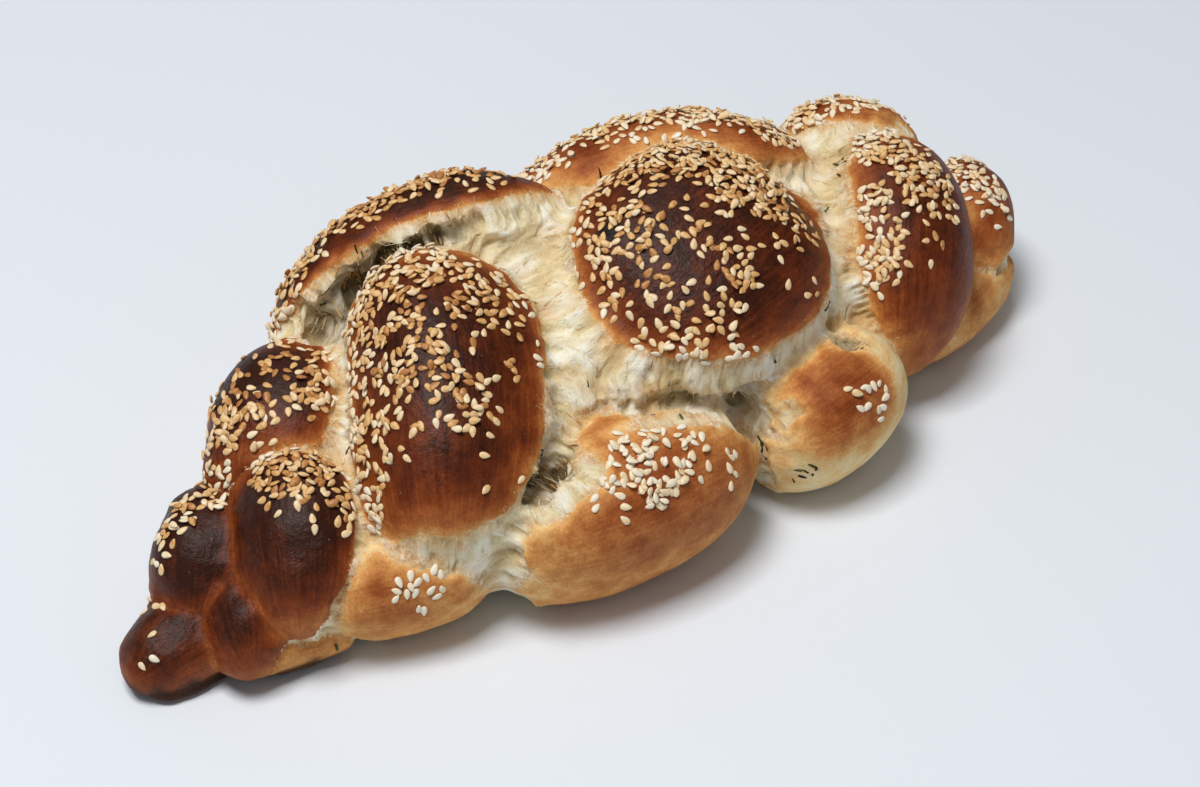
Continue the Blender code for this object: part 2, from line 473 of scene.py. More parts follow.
def spread(values, start, end, weight):
    """One smearing pass: each point takes the weighted mean of itself and its neighbours."""
    top = np.bincount(end, values[start] * weight, len(values)) + values * 0.5
    return top / (np.bincount(end, weight, len(values)) + 0.5)


points = positions(skin)
start, end = ring_edges(skin)
corners = face_corners(skin)
skin.free()
directions = outward(points, corners)
border, owner, distances, places = border_field(points)
DEPTH_STARTS = 1.0  # millimetres inside the lobes, where a hollow's wall begins to count as deep
depth = np.maximum(-distances.min(0) - DEPTH_STARTS, 0)
print("Torn crumb:", round(100 * float((border < 0).mean())), "% of the points")

# %% [markdown]
# Away from the border on both sides, the strands point in opposite ways, and plain averaging would
# cancel them. A strand has no front or back, so the averaging is done on the product of each
# direction with itself, and the strongest direction of the result is read back.

# %% Ragged borders, and the strands' direction
COMB_STEP = 1.5
COMB_PASSES = 36
RAGGED = ((8.0, 1.2, 11), (2.6, 0.7, 12))  # grain in mm, height in mm, seed
TORN_MORE = ("low_front_3", "low_front_4")  # low lobes whose borders are the most ragged
RAGGED_SHARES = (0.15, 0.85, 0.9)  # everywhere, past the pointed end, and on the lobes torn more
LEAST_BORDER, WHOLE_BORDER = -5, 1  # crumb at its full depth, and crust 1 mm from the border


def border_slope(points, directions):
    """The way the border number rises fastest along the surface."""
    side = unit(np.cross(directions, np.array([0.3, 0.5, 0.81])))
    other = np.cross(directions, side)
    slope = []
    for way in (side, other):
        ahead = border_field(points + COMB_STEP * way)[0]
        behind = border_field(points - COMB_STEP * way)[0]
        slope.append((ahead - behind)[:, None])
    return unit(slope[0] * side + slope[1] * other + 1e-6 * side)


def comb_lines(slope, directions):
    """The slope's directions, averaged as lines without a front or back."""
    even = np.ones(len(start))
    product = np.zeros((len(slope), 3, 3))
    for i, j in ((0, 0), (0, 1), (0, 2), (1, 1), (1, 2), (2, 2)):
        entry = slope[:, i] * slope[:, j]
        for _ in range(COMB_PASSES):
            entry = spread(entry, start, end, even)
        product[:, i, j] = product[:, j, i] = entry
    line = np.linalg.eigh(product)[1][:, :, 2]
    return unit(line - (line * directions).sum(1)[:, None] * directions)


comb = comb_lines(border_slope(points, directions), directions)
ragged = sum(height * noise(points, size, seed) for size, height, seed in RAGGED)
torn_more = np.isin(owner, [INDEX[name] for name in TORN_MORE])
everywhere, past_end, on_torn = RAGGED_SHARES
border = border + ragged * (
    everywhere + past_end * blend(-95, -75, points[:, 0]) + on_torn * torn_more)


def keep_whole(border, untorn, from_x, to_x):
    """Lift the border number on lobes of the pointed end, which never tore, and limit it below."""
    whole = blend(from_x, to_x, points[:, 0]) * untorn
    return np.maximum(border, LEAST_BORDER + (WHOLE_BORDER - LEAST_BORDER) * whole)


border = keep_whole(border, owner < INDEX["crown_front_1"], from_x=-90, to_x=-97)
border = keep_whole(border, owner == INDEX["crown_front_1"], from_x=-100, to_x=-105)
print("Combed", len(comb), "points")

# %% Strands: random numbers, smeared along the comb
STRICTNESS = 8  # how little is smeared across the strands


def combed(values, passes):
    """Values smeared along the comb direction, brought back to a spread of 1."""
    way = unit(points[end] - points[start])
    weight = np.abs((way * comb[end]).sum(1)) ** STRICTNESS
    for _ in range(passes):
        values = spread(values, start, end, weight)
    return (values - values.mean()) / values.std()


rng = np.random.default_rng(5)
fine_strands = combed(rng.normal(size=len(points)), 9)
thick_strands = combed(noise(points, 3.0, 21) + 0.5 * noise(points, 1.6, 22), 24)
lumps = noise(points, 8.0, 23) + 0.45 * noise(points, 3.0, 24)
print("Strands smeared along", len(start) // 2, "edges")

# %% [markdown]
# The relief is a sum of plain things. Crust has a raised lip, higher and torn into flaps on the low
# front lobes, and slow swells. Crumb lies a little lower and carries two sizes of strands, lumps,
# and pits where gas bubbles burst. The base gets no relief, because the tray pressed it flat.

# %% Crust lip, strands and crumb pits
LIP_HEIGHT = 0.9
FLAP_HEIGHT = 2.2  # in lip heights
CRUMB_SINK = 0.8
FINE_HEIGHT, THICK_HEIGHT, LUMP_HEIGHT = 0.28, 0.34, 0.2
PITS = 260
PIT_RADII = (0.8, 3.2)
PIT_DEPTH = 0.75  # in radii
PIT_STRETCH = 0.6  # 0 for a round pit, towards 1 for a long one
is_crust = blend(-0.45, 0.6, border)
off_base = blend(1.0, 5.0, points[:, 2])


def crumb_pits(count):
    """Depth of the small holes in the crumb, drawn out along the strands."""
    sink = np.zeros(len(points))
    torn = np.flatnonzero((border < -1.2) & (points[:, 2] > 8))
    for centre in rng.choice(torn, count, replace=False):
        radius = PIT_RADII[0] + (PIT_RADII[1] - PIT_RADII[0]) * rng.random() ** 3
        offset = points - points[centre]
        along = offset @ comb[centre]
        away = np.sqrt(np.maximum((offset**2).sum(1) - PIT_STRETCH * along**2, 0)) / radius
        sink = np.maximum(sink, PIT_DEPTH * radius * np.sqrt(np.clip(1 - away**2, 0, 1)))
    return sink


pits = crumb_pits(PITS) * (1 - is_crust)
torn_lip = 1 + 0.8 * noise(points, 4, 34) * blend(5, 1, border)
flaps = torn_more * blend(5, 0.5, border) * np.clip(noise(points, 7, 35), 0, 1.3)
torn_lip += FLAP_HEIGHT * flaps
thin_end = blend(-88, -108, points[:, 0])
slow_swell = (0.4 + 0.8 * thin_end) * noise(points, 14, 31)
quick_swell = (0.14 + 0.3 * thin_end) * noise(points, 5, 32)
crust_relief = LIP_HEIGHT * torn_lip * blend(-0.4, 1.4, border) + slow_swell + quick_swell
torn_wall = 1 + 1.6 * blend(1.5, 6, depth)
crumb_relief = (-CRUMB_SINK * blend(0, 5, -border) + FINE_HEIGHT * fine_strands
                + torn_wall * (THICK_HEIGHT * thick_strands + LUMP_HEIGHT * lumps) - pits)
relief = is_crust * crust_relief + (1 - is_crust) * crumb_relief
shaped = points + (relief * off_base)[:, None] * directions
print("Relief from", relief.min().round(1), "to", relief.max().round(1), "mm")

# %% [markdown]
# The pointed end is thin, so it sits flat on the tray, and a ragged skirt of crust spreads there.

# %% The skirt at the pointed end, the flat base, and the loaf centred over the origin
SKIRT_WIDTH = 4.0
skirt = blend(-98, -112, points[:, 0]) * blend(4.5, 1.0, points[:, 2])
skirt *= np.clip(0.7 + 0.8 * noise(points, 7, 33), 0, 1.4)
shaped[:, :2] += (SKIRT_WIDTH * skirt)[:, None] * directions[:, :2]
shaped[:, 2] = np.maximum(shaped[:, 2], 0)
middle = (points.min(0) + points.max(0)) / 2
middle[2] = 0
shaped -= middle
print("Loaf:", (shaped.max(0) - shaped.min(0)).round(1), "mm")

# %% [markdown]
# Light hardly reaches the bottom of creases, so creases get painted shade: their colour is
# darkened later, and they look deeper than their shape. How much lower a point lies than the
# mean of its surroundings says where they are.

# %% Creases, for painted shade
CREASE_REACH = 14


def crease_depth(points, directions):
    """Millimetres that each point lies below its surroundings, along its normal."""
    even = np.ones(len(start))
    around = points.copy()
    for _ in range(CREASE_REACH):
        for axis in range(3):
            around[:, axis] = spread(around[:, axis], start, end, even)
    return ((around - points) * directions).sum(1)


sunk_by = crease_depth(points, directions)
# How much painted shade each point gets, from 0 outside a crease to 1 deep in one
crease = blend(0.1, 1.1, sunk_by)
print("Creased:", round(100 * float((crease > 0.5).mean())), "% of the points")

# %% [markdown]
# ## How brown each point is
#
# The oven's heat comes from above, so crust that faces up and stands high bakes darkest, and the
# flanks stay red-brown, then orange, then gold at the crust's border. The loaf's foot stays pale
# on the tray, except at the thin pointed end, which scorches.

# %% Browning
PALE_SKIN = 0.10


def per_owner(numbers):
    """A number for each lobe, dealt out to the points that belong to it."""
    return np.array(numbers)[owner]


def browning():
    """0 for raw crumb, 1 for the darkest crust."""
    bakes = [BAKES[lobe.name] for lobe in SWELLINGS]
    facing = blend(-0.35, 0.85, directions[:, 2])
    foot = np.maximum(blend(0, 24, points[:, 2]), 0.9 * thin_end)
    inward = 1 - np.exp(-np.maximum(border, 0) / per_owner([bake.fade for bake in bakes]) * 1.3)
    inward = np.maximum(inward, 0.55 * thin_end)
    patch = np.zeros(len(points))
    for i, lobe in enumerate(SWELLINGS):
        level = blend(-6, 5, patch_border(lobe, places[i])) if bakes[i].pale_skin else 1
        patch = np.where(owner == i, level, patch)
    strength = (0.58 + 0.42 * facing) * (0.7 + 0.3 * foot) * (0.12 + 0.88 * inward)
    value = per_owner([bake.brown for bake in bakes]) * strength * patch
    patchy = 0.06 * noise(points, 14, 41) + 0.05 * noise(points, 6, 42)
    return np.clip(PALE_SKIN + value + patchy * inward * (0.3 + 0.7 * patch), 0, 1.1)


brown = browning()
toasted_crumb = (blend(0.1, 0.9, 0.6 * noise(points, 9, 43) + 0.6 * noise(points, 3, 44)
                       + 0.5 * directions[:, 2]) * blend(-8, -0.5, border)
                 + 0.75 * blend(-3.0, -0.2, border) + 0.6 * blend(0.1, 0.6, -sunk_by))
toasted_crumb = np.clip(toasted_crumb, 0, 1)
print("Darkest crust:", brown.max().round(2), "and the mean:", brown[border > 0].mean().round(2))

# %% [markdown]
# Two small blisters charred, and the thin rim of the pointed end burnt on the tray.

# %% Scorched spots
Spot = namedtuple("Spot", "lobe along round radius")
CHARRED = (Spot("crown_front_3", -0.45, -34, 4.5), Spot("crown_front_4", 0.45, -30, 2.5))


def spot_place(spot):
    """The point of a lobe's surface that a spot names."""
    lobe = LOBES[INDEX[spot.lobe]]
    turn = math.radians(spot.round)
    across = math.sqrt(max(1 - spot.along**2, 0))
    sphere = np.array([[spot.along, -across * math.sin(turn), across * math.cos(turn)]])
    return lobe_points(lobe, sphere)[0]


wobble = 0.45 * noise(points, 3, 45)
scorch = np.zeros(len(points))
for spot in CHARRED:
    away = np.linalg.norm(points - spot_place(spot), axis=1) / spot.radius
    scorch = np.maximum(scorch, blend(1.1, 0.5, away + wobble))
burnt_rim = blend(-90, -104, points[:, 0]) * blend(8, 3.5, points[:, 2] + 5 * wobble)
scorch = np.maximum(scorch, 0.85 * burnt_rim)

# %% [markdown]
# Rolling a rope draws its skin out, so the crust's faint streaks run along each rope. The material
# can draw them only if it knows where along and round its rope each point lies.

# %% The rope's own grain
along_rope = np.zeros(len(points))
round_rope = np.zeros(len(points))
for i, lobe in enumerate(SWELLINGS):
    mine = owner == i
    along_rope[mine] = places[i][mine, 0] * lobe.half[0]
    round_rope[mine] = np.radians(round_angle(places[i][mine])) * (lobe.half[1] + lobe.half[2]) / 2
ROPES_APART = 37.0  # keeps the streaks of two ropes unlike
grain = np.stack([along_rope, round_rope, owner * ROPES_APART], 1)

# %% [markdown]
# ## Where the seeds fall
#
# Seeds are strewn by hand before baking, so they lie in drifts. Each lobe has a few, and each drift
# says how far along the rope it lies, as a share of its half length, how many degrees round it,
# how wide it is in millimetres, and how crowded, where 10 is a drift whose seeds nearly touch.

# %% Drifts of sesame
Drift = namedtuple("Drift", "along round radius crowd")
DRIFTS = {
    "crown_front_2": ((0.6, -45, 18, 10), (0.35, -85, 13, 8), (0.45, -10, 15, 8),
        (0.05, -48, 16, 9), (0.0, -88, 11, 7), (-0.22, -30, 12, 8), (-0.35, -75, 14, 9),
        (-0.65, -88, 9, 9), (-0.5, -10, 12, 2.5), (0.1, 15, 12, 2.5)),
    "crown_front_3": ((0.35, -48, 18, 14), (0.55, -15, 16, 14), (0.5, 15, 11, 6),
        (-0.05, -55, 15, 7), (-0.4, -26, 10, 9), (-0.48, -52, 9, 7), (-0.7, -30, 9, 7),
        (-0.2, -5, 18, 4), (-0.1, 6, 15, 6), (-0.45, 2, 12, 6), (0.3, 30, 12, 1.5),
        (-0.6, 24, 8, 7), (-0.42, 24, 9, 6), (-0.65, 34, 5, 9), (-0.42, 40, 5, 9),
        (-0.75, 15, 8, 6), (-0.8, -8, 7, 6)),
    "crown_back_2": ((-0.6, -24, 15, 10), (-0.2, -26, 14, 11), (0.2, -24, 14, 10),
        (0.5, -16, 11, 8), (-0.85, -5, 10, 9), (-0.3, 4, 12, 2), (0.0, -60, 18, 6)),
    "crown_back_3": ((-0.72, 6, 8, 8), (-0.6, -16, 13, 9), (-0.15, -20, 14, 11), (0.0, 12, 11, 5),
        (0.3, -14, 14, 11), (0.65, 4, 11, 10), (0.1, -55, 19, 6)),
    "crown_back_4": ((-0.5, -26, 12, 10), (0.0, -30, 12, 9), (0.4, -35, 9, 6), (0.1, -60, 13, 5)),
    "crown_front_4": ((0.6, -25, 13, 14), (0.25, -5, 14, 11), (0.0, -38, 10, 10),
        (-0.4, -40, 9, 9), (-0.1, 0, 12, 2), (-0.85, 20, 6, 1)),
    "crown_front_5": ((0.5, -15, 10, 12), (0.1, 5, 10, 9)),
    "crown_back_1": ((0.6, 5, 12, 7), (0.2, -8, 12, 5), (-0.2, -25, 12, 8), (-0.55, -45, 10, 7),
        (0.2, 25, 9, 9), (0.1, -70, 15, 5)),
    "crown_front_1": ((0.5, -38, 11, 13), (0.42, -5, 9, 12), (0.1, 8, 9, 8), (0.62, -15, 10, 14),
        (-0.2, -40, 12, 0.8), (0.25, -30, 10, 7)),
    "nose_back": ((0.2, -20, 8, 10), (0.5, 5, 7, 11), (-0.2, -30, 8, 6)),
    "nose": ((-0.3, -45, 5, 5), (-0.75, -20, 10, 2)),
    "nose_wrap": ((0.2, -20, 8, 2),),
    "low_front_3": ((0.05, -14, 10, 8), (0.3, 4, 10, 8), (0.05, 12, 10, 7), (0.6, 20, 8, 5),
        (-0.32, 18, 6, 2.5), (-0.12, 4, 8, 7)),
    "low_front_4": ((0.0, 24, 8.5, 5),),
    "low_front_2": ((-0.02, 27, 9, 5),),
    "low_back_1": ((0.0, -30, 15, 3),),
    "low_back_2": ((-0.2, -25, 16, 4), (0.4, -40, 14, 2)),
    "low_back_3": ((0.0, -25, 16, 4), (-0.5, -45, 12, 2)),
    "low_back_4": ((0.1, -25, 13, 3),),
}


def drift_level(drift, lobe, places):
    """How crowded one drift is at each place of its lobe."""
    waist = (lobe.half[1] + lobe.half[2]) / 2
    turn = np.radians(round_angle(places) - drift.round) * waist
    away = np.hypot((places[:, 0] - drift.along) * lobe.half[0], turn)
    return drift.crowd / 10 * blend(1.15, 0.6, away / drift.radius)


def seed_crowd():
    """How crowded the seeds are at each point: 1 where they nearly touch."""
    crowd = np.zeros(len(points))
    for name, drifts in DRIFTS.items():
        i = INDEX[name]
        for drift in drifts:
            level = drift_level(Drift(*drift), SWELLINGS[i], places[i])
            crowd = np.maximum(crowd, np.where(owner == i, level, 0))
    clumps = np.clip(0.95 + 0.6 * noise(points, 3.4, 51), 0.3, 1.5)
    return crowd * clumps * blend(-1.2, 0.3, border)


crowd = seed_crowd()
print("Seeds nearly touch on", round(100 * float((crowd > 0.8).mean())), "% of the points")

# %% [markdown]
# ## Where the herbs lie
#
# The dough was kneaded with chopped herbs. They show as dark green flecks where it tore, thickest
# in the torn pockets, and where the skin stayed pale.

# %% Herb spots, in millimetres
Herbs = namedtuple("Herbs", "at radius crowd")
HERB_SPOTS = (
    Herbs((-38, -42, 48), 5, 12), Herbs((27, -52, 24), 5, 7), Herbs((33, -62, 20), 6, 11),
    Herbs((-45, 24, 72), 16, 3.5), Herbs((92, -2, 62), 5, 14), Herbs((-67, -48, 18), 6, 6),
    Herbs((24, -48, 34), 6, 5), Herbs((-104, -30, 8), 8, 5), Herbs((-60, 28, 60), 9, 4),
    Herbs((2, -46, 44), 5, 6), Herbs((60, -48, 42), 5, 5),
)


def herb_crowd():
    """How many herb flecks lie on a square centimetre."""
    crowd = 0.1 * blend(-0.5, -2, border)
    for spot in HERB_SPOTS:
        away = np.linalg.norm(points - np.array(spot.at), axis=1) / spot.radius
        soft = (border < 0.5) | (brown < 0.5)
        crowd = np.maximum(crowd, spot.crowd * blend(1.0, 0.5, away) * soft)
    return crowd * blend(2, 5, points[:, 2])


HERBS_AT_MOST = 20  # flecks on a square centimetre
herbs_here = herb_crowd() / HERBS_AT_MOST
print(len(HERB_SPOTS), "spots of herbs")

# %% [markdown]
# Fine fibres cover all the torn crumb, most of them close to the crust. Thicker shreds hang in the
# hollows, and a few stand where the dough parted.

# %% Where fibres lie and shreds stand
fibres_here = (blend(0.2, -0.6, border) * blend(3, 7, points[:, 2])
               * np.maximum(0.35, blend(-4, -1, border)))
shreds_here = (0.12 * blend(0.1, -0.5, border) * blend(-4.0, -2.0, border) * blend(0, 0.4, lumps)
               + 0.6 * blend(1.5, 3.5, depth)) * blend(4, 8, points[:, 2])
print("Shreds on", round(100 * float((shreds_here > 0.05).mean()), 1), "% of the points")

# %% [markdown]
# ## From arrays back to a mesh
#
# The numbers worked out above go onto the mesh as named attributes. The material and the Geometry
# Nodes trees read them by name.

# %% The loaf's mesh
def add_attribute(data, name, values):
    """Store one number, or one vector, for each point of a mesh."""
    kind = "FLOAT" if values.ndim == 1 else "FLOAT_VECTOR"
    field = "value" if values.ndim == 1 else "vector"
    layer = data.attributes.new(name, kind, "POINT")
    layer.data.foreach_set(field, values.astype(np.float32).ravel())


ATTRIBUTES = {
    "border": border, "brown": brown, "toasted": toasted_crumb, "scorch": scorch, "crease": crease,
    "strands": 0.5 * fine_strands + 0.7 * thick_strands, "deep": depth, "grain": grain, "comb": comb,
    "heat": blend(22, 52, points[:, 2]), "seed_crowd": crowd, "herb_crowd": herbs_here,
    "fibre_crowd": fibres_here, "shred_crowd": shreds_here,
}


def loaf_mesh():
    """The shaped skin as a Blender mesh in metres, with its attributes."""
    data = bpy.data.meshes.new("baked_loaf")
    data.from_pydata((shaped * MM).tolist(), [], corners.tolist())
    data.shade_smooth()
    for name, values in ATTRIBUTES.items():
        add_attribute(data, name, values)
    return data


loaf = bpy.data.objects.new("baked_loaf", loaf_mesh())
bpy.context.scene.collection.objects.link(loaf)
print("baked_loaf:", len(loaf.data.polygons), "triangles")

# %% [markdown]
# ## Materials
#
# A small helper keeps the node trees readable: it adds a node, sets its values and links its
# inputs in one call. Colours are written as they look, from 0 to 255, and turned into the linear
# numbers that Blender adds up.

# %% Node helpers
def colour(red, green, blue):
    """A colour as it looks, as linear numbers."""
    linear = [((c / 255 + 0.055) / 1.055) ** 2.4 if c > 10 else c / 255 / 12.92
              for c in (red, green, blue)]
    return (*linear, 1.0)


def put(socket, value):
    """Link a socket to an output, or give it a plain value."""
    if isinstance(value, bpy.types.NodeSocket):
        socket.id_data.links.new(value, socket)
    elif value is not None:
        socket.default_value = value


def node(tree, kind, inputs=None, **settings):
    """Add a node, with its settings and its inputs."""
    made = tree.nodes.new(kind)
    for name, value in settings.items():
        setattr(made, name, value)
    for name, value in (inputs or {}).items():
        put(made.inputs[name], value)
    return made


def math_node(tree, operation, *values):
    """The result of one sum."""
    made = tree.nodes.new("ShaderNodeMath")
    made.operation = operation
    for socket, value in zip(made.inputs, values):
        put(socket, value)
    return made.outputs[0]


def total(tree, *values):
    """Values added up."""
    result = values[0]
    for value in values[1:]:
        result = math_node(tree, "ADD", result, value)
    return result


def times(tree, first, second):
    """Two values multiplied."""
    return math_node(tree, "MULTIPLY", first, second)


def read(tree, name, output="Fac"):
    """A mesh attribute's value in a material."""
    return node(tree, "ShaderNodeAttribute", attribute_name=name).outputs[output]


def rise(tree, value, low, high, to_low=0.0, to_high=1.0):
    """A value carried from one range to another, smoothly and within bounds."""
    made = node(tree, "ShaderNodeMapRange", interpolation_type="SMOOTHSTEP")
    for name, setting in (("Value", value), ("From Min", low), ("From Max", high),
                          ("To Min", to_low), ("To Max", to_high)):
        put(made.inputs[name], setting)
    return made.outputs["Result"]


def mix(tree, share, first, second):
    """Two colours mixed."""
    made = node(tree, "ShaderNodeMix", {0: share, 6: first, 7: second}, data_type="RGBA")
    return made.outputs[2]


def mix_numbers(tree, share, first, second):
    """Two numbers mixed."""
    made = node(tree, "ShaderNodeMix", {0: share, 2: first, 3: second}, data_type="FLOAT")
    return made.outputs[0]


def rough_bump(tree, shader, height, distance, strength):
    """Relief in a finish, finer than the mesh."""
    bump = node(tree, "ShaderNodeBump",
                {"Height": height, "Distance": distance, "Strength": strength})
    put(shader.inputs["Normal"], bump.outputs["Normal"])


def ramp(tree, value, stops):
    """A colour ramp from a list of (place, colour)."""
    made = node(tree, "ShaderNodeValToRGB", {"Fac": value})
    elements = made.color_ramp.elements
    while len(elements) < len(stops):
        elements.new(1.0)
    for element, (place, tint) in zip(elements, stops):
        element.position = place
        element.color = tint
    return made.outputs["Color"]


def speckle(tree, where, size, detail=2.0, rough=0.5):
    """Noise whose grain is about size metres."""
    return node(tree, "ShaderNodeTexNoise",
                {"Vector": where, "Scale": 1 / size, "Detail": detail, "Roughness": rough}
                ).outputs["Fac"]


def stretched(tree, vector, scale):
    """A vector with each part scaled, to draw a pattern out in one direction."""
    return node(tree, "ShaderNodeMapping", {"Vector": vector, "Scale": scale}).outputs["Vector"]


def new_material(name):
    """A material with its tree and shader."""
    material = bpy.data.materials.new(name)
    material.use_nodes = True
    tree = material.node_tree
    print("Mixing the finish", name)
    return material, tree, tree.nodes["Principled BSDF"]


def object_place(tree):
    """Where on its piece a point lies, in metres."""
    return node(tree, "ShaderNodeTexCoord").outputs["Object"]


# %% [markdown]
# ### Crust and crumb
#
# Crust and crumb are one material, because the border between them is ragged and finer than the
# mesh. Noise is added to the border number, and where the sum passes zero crust turns to crumb.
#
# Egg-washed crust is satin, and its colour is mostly how brown it is: cream, gold, orange,
# red-brown, then a purple black. Fine streaks run along each rope, where the dough was rolled.

# %% Crust colour
BROWNING = (
    (0.00, colour(240, 222, 178)), (0.12, colour(236, 200, 138)), (0.24, colour(221, 160, 92)),
    (0.38, colour(189, 119, 60)), (0.52, colour(159, 85, 37)), (0.66, colour(130, 60, 19)),
    (0.80, colour(102, 42, 13)), (0.94, colour(69, 28, 11)), (1.00, colour(53, 23, 12)),
)
# The middle colour is painted shade in creases; pale dots and charcoal are the crust's own
PALE_DOT, CREASE_SHADE_BROWN, CHARCOAL = colour(196, 136, 88), colour(112, 66, 30), colour(22, 17, 15)


def crust_colour(tree, place, grain_vector):
    """The crust's colour with painted shade in its creases, and its streaks and dots for the relief.
    """
    streaks = speckle(tree, stretched(tree, grain_vector, (0.07, 0.9, 1)), 1.0, 4.0, 0.6)
    blotches = speckle(tree, place, 6 * MM, 5.0, 0.65)
    specks = speckle(tree, place, 0.7 * MM, 2.0, 0.5)
    brown_here = read(tree, "brown")
    streak_shade = times(tree, rise(tree, streaks, 0.25, 0.75, -0.07, 0.07),
                         rise(tree, brown_here, 0.15, 0.75, 0.2, 1.0))
    value = total(tree, brown_here, streak_shade, rise(tree, blotches, 0.25, 0.75, -0.09, 0.09),
                  rise(tree, specks, 0.2, 0.8, -0.04, 0.04))
    tint = ramp(tree, value, BROWNING)
    dots = node(tree, "ShaderNodeTexVoronoi", {"Vector": place, "Scale": 1 / (2.6 * MM)})
    dot = times(tree, rise(tree, dots.outputs["Distance"], 0.14, 0.06),
                rise(tree, speckle(tree, place, 9 * MM), 0.5, 0.65))
    tint = mix(tree, times(tree, dot, 0.3), tint, PALE_DOT)
    # Painted shade: creases are darkened towards a shadowy brown
    tint = mix(tree, times(tree, read(tree, "crease"), 0.5), tint, CREASE_SHADE_BROWN)
    return mix(tree, read(tree, "scorch"), tint, CHARCOAL), streaks, dot


# %% Crumb colour
# From cream strand tops down to the grooves between them, darkened there as painted shade
CRUMB_WITH_GROOVE_SHADE = (
    (0.0, colour(222, 204, 160)), (0.35, colour(238, 225, 188)),
    (0.7, colour(248, 239, 211)), (1.0, colour(252, 247, 230)),
)
# Toasted crumb is the crumb's own gold; the second colour is painted shade in its creases
TOASTED_CRUMB, CREASE_SHADE_CRUMB = colour(214, 156, 82), colour(186, 152, 98)
# Painted shade for crumb deep inside the torn hollows
HOLLOW_SHADE_CRUMB = colour(92, 76, 50)


def crumb_colour(tree, place):
    """Cream strands, golden where they stood up in the heat, with painted shade in their grooves."""
    strands = read(tree, "strands")
    fluff = speckle(tree, place, 0.9 * MM, 3.0, 0.6)
    # Painted shade: the crumb is darkest where the strands' relief is lowest
    value = total(tree, rise(tree, strands, -1.8, 1.8), rise(tree, fluff, 0.2, 0.8, -0.25, 0.25))
    gold = times(tree, read(tree, "toasted"), rise(tree, fluff, 0.3, 0.65, 0.2, 0.85))
    tint = mix(tree, gold, ramp(tree, value, CRUMB_WITH_GROOVE_SHADE), TOASTED_CRUMB)
    # Painted shade in the crumb's creases
    tint = mix(tree, times(tree, read(tree, "crease"), 0.3), tint, CREASE_SHADE_CRUMB)
    # Painted shade: crumb deep in a hollow is darkened, most in the grooves between strands
    hollow_shade = times(tree, rise(tree, read(tree, "deep"), 0.3, 3.8, 0.0, 0.92),
                   rise(tree, strands, -0.6, 1.4, 1.0, 0.35))
    return mix(tree, hollow_shade, tint, HOLLOW_SHADE_CRUMB)


# %% The loaf's material
TRAY_BROWN = ((0.3, colour(176, 122, 66)), (0.7, colour(128, 76, 38)))
CRUMB_ROUGHNESS = 0.92
CRUST_SHINE = 0.22
LIGHT_IN_CRUMB = 3 * MM  # how far light travels inside the crumb


def crust_height(tree, place, streaks, dot):
    """The crust's own small relief: streaks, pores, wrinkles and raised dots."""
    pores = speckle(tree, place, 0.35 * MM, 2.0, 0.5)
    wrinkles = speckle(tree, place, 1.8 * MM, 3.0, 0.55)
    return total(tree, times(tree, streaks, 0.35), times(tree, pores, 0.35),
                 times(tree, wrinkles, 1.15), times(tree, dot, 0.4))


def loaf_material():
    """Crust and torn crumb, divided by the ragged border."""
    material, tree, shader = new_material("crust_and_crumb")
    place = object_place(tree)
    fray = speckle(tree, place, 1.2 * MM, 3.0, 0.6)
    edge = total(tree, read(tree, "border"), rise(tree, fray, 0.2, 0.8, -0.8, 0.8))
    is_crust = rise(tree, edge, -0.25, 0.35)
    crust, streaks, dot = crust_colour(tree, place, read(tree, "grain", "Vector"))
    tint = mix(tree, is_crust, crumb_colour(tree, place), crust)
    height_here = node(tree, "ShaderNodeSeparateXYZ", {"Vector": place}).outputs["Z"]
    underside = rise(tree, height_here, 1.2 * MM, 0.2 * MM)
    tray_brown = ramp(tree, speckle(tree, place, 12 * MM, 5.0, 0.6), TRAY_BROWN)
    put(shader.inputs["Base Color"], mix(tree, underside, tint, tray_brown))
    gloss = total(tree, rise(tree, read(tree, "brown"), 0.15, 0.9, 0.75, 0.42),
                  rise(tree, streaks, 0.3, 0.7, 0.05, -0.05))
    put(shader.inputs["Roughness"], mix_numbers(tree, is_crust, CRUMB_ROUGHNESS, gloss))
    shader.inputs["Specular IOR Level"].default_value = CRUST_SHINE
    put(shader.inputs["Subsurface Weight"], rise(tree, is_crust, 0.0, 1.0, 0.4, 0.0))
    shader.inputs["Subsurface Radius"].default_value = (1.0, 0.7, 0.4)
    shader.inputs["Subsurface Scale"].default_value = LIGHT_IN_CRUMB
    fluff = times(tree, speckle(tree, place, 0.55 * MM, 3.0, 0.65), 1.6)
    height = mix_numbers(tree, is_crust, fluff, crust_height(tree, place, streaks, dot))
    rough_bump(tree, shader, height, 0.4 * MM, 0.8)
    return material


loaf.data.materials.append(loaf_material())

# %% [markdown]
# ## Sesame seeds
#
# A sesame seed is a flat teardrop about 3 mm long. Thousands of them can't be placed by hand, and
# a particle system would leave them as instances. Geometry Nodes make the teardrop from a
# sphere, scatter it over the crust where the drifts are, lay it on the surface and turn it at
# random. The first sowing lies flat. The second lies on top of it in the thickest drifts, at more
# of a tilt.

# %% Helpers for Geometry Nodes
def new_tree(name, sockets):
    """A geometry tree with named inputs, given as (name, type, default)."""
    tree = bpy.data.node_groups.new(name, "GeometryNodeTree")
    tree.interface.new_socket("Geometry", in_out="INPUT", socket_type="NodeSocketGeometry")
    tree.interface.new_socket("Geometry", in_out="OUTPUT", socket_type="NodeSocketGeometry")
    for label, kind, default in sockets:
        socket = tree.interface.new_socket(label, in_out="INPUT", socket_type=kind)
        if default is not None:
            socket.default_value = default
    return tree, tree.nodes.new("NodeGroupInput").outputs, tree.nodes.new("NodeGroupOutput")


